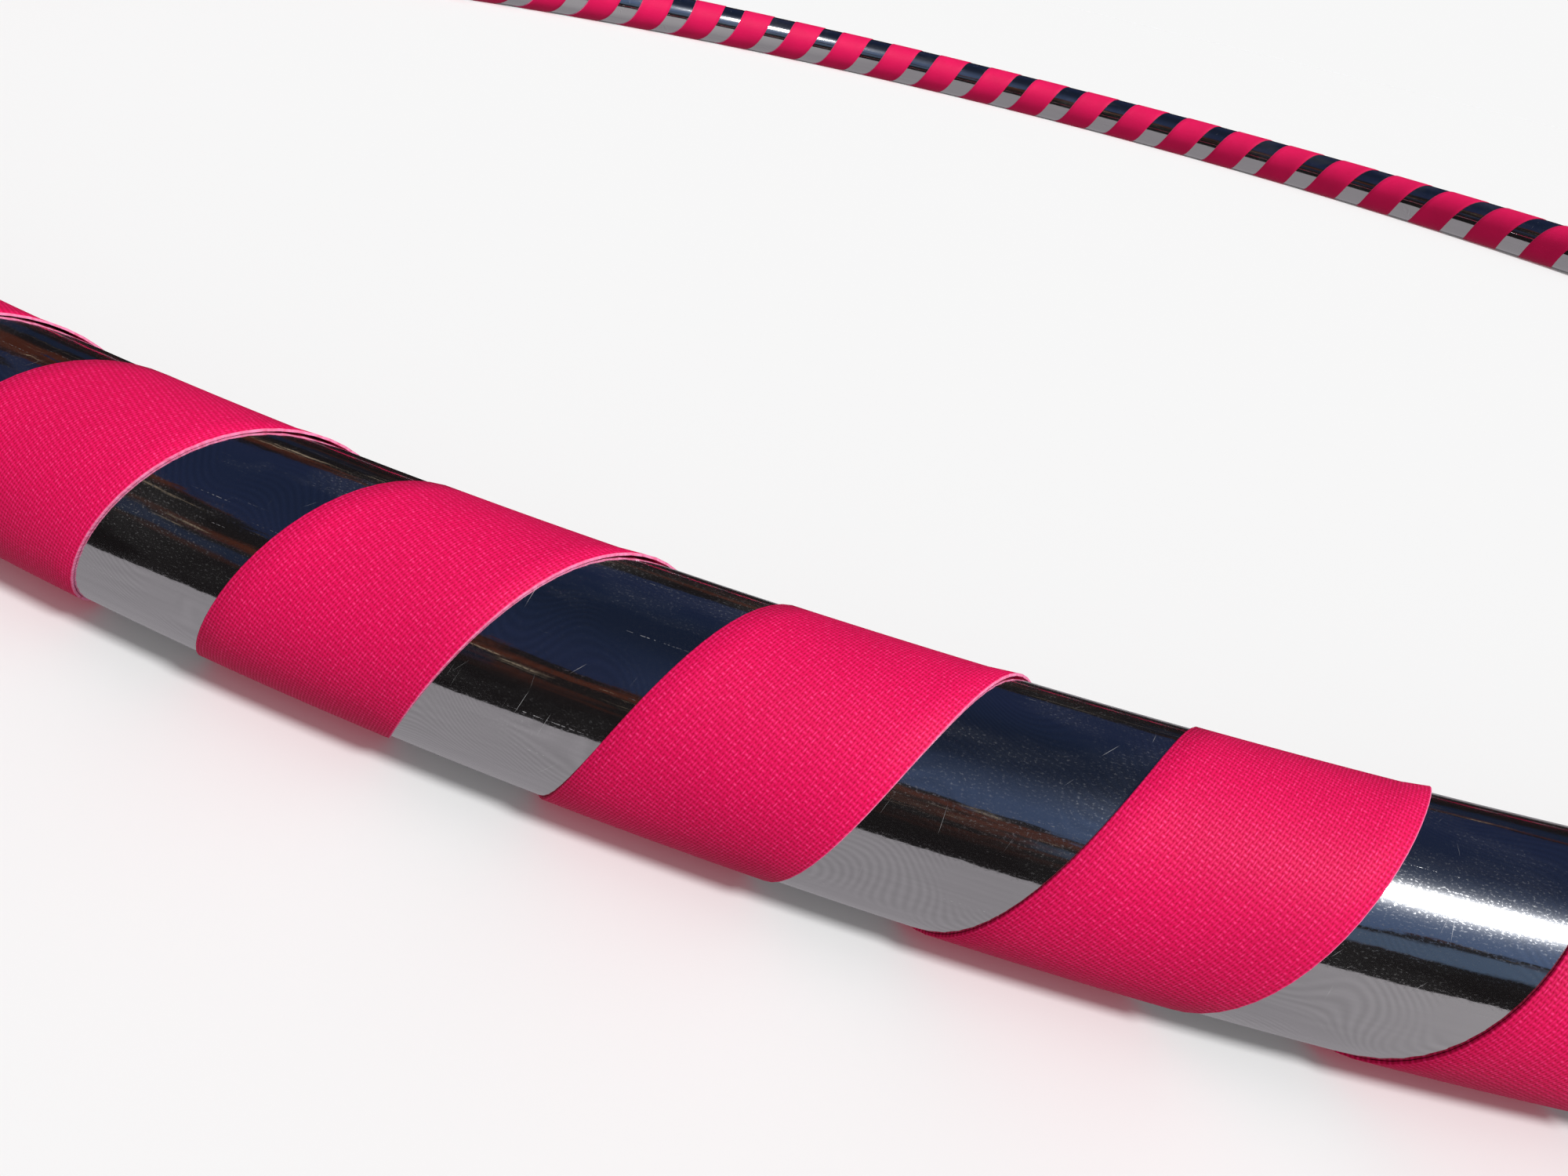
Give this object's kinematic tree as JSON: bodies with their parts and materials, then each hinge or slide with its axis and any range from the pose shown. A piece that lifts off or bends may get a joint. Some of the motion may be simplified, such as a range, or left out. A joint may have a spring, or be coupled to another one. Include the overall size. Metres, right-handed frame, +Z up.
{
  "type": "taped dance hoop",
  "caption": "Round plastic hoop lying flat, wound in a spiral with mirror film and pink cloth grip tape, its ends joined by an inner sleeve with a push button",
  "frame": {"origin": "centre of the hoop, on the surface it lies on", "axes": "+Z up through the hoop; +X through the joint between the tube's ends; -Y towards the viewer"},
  "size_m": [0.95, 0.95, 0.0267],
  "materials": {
    "tube_plastic": "matt extruded polyethylene",
    "insert_plastic": "satin polyethylene",
    "rivet_aluminium": "bright",
    "mandrel_steel": "plain",
    "button_nickel": "nickel plated",
    "spring_steel": "bright rolled strip",
    "mirror_film": "mirror film, lightly scratched",
    "grip_cloth": "woven cloth tape with a slight sheen"
  },
  "bodies": {
    "hoop": {"hoop_tube": "tube_plastic", "connector_insert": "insert_plastic", "rivet_sleeve": "rivet_aluminium", "rivet_mandrel": "mandrel_steel", "button_spring": "spring_steel", "mirror_tape": "mirror_film", "grip_tape": "grip_cloth"},
    "button": {"snap_button": "button_nickel"}
  },
  "joints": [
    {"name": "button_press", "type": "slide", "parent": "hoop", "child": "button", "axis": [0, 0, -1], "range_m": [0, 0.0044], "stiffness_N_per_m": 1500, "springref_m": -0.002, "deforming": ["button_spring"]}
  ]
}
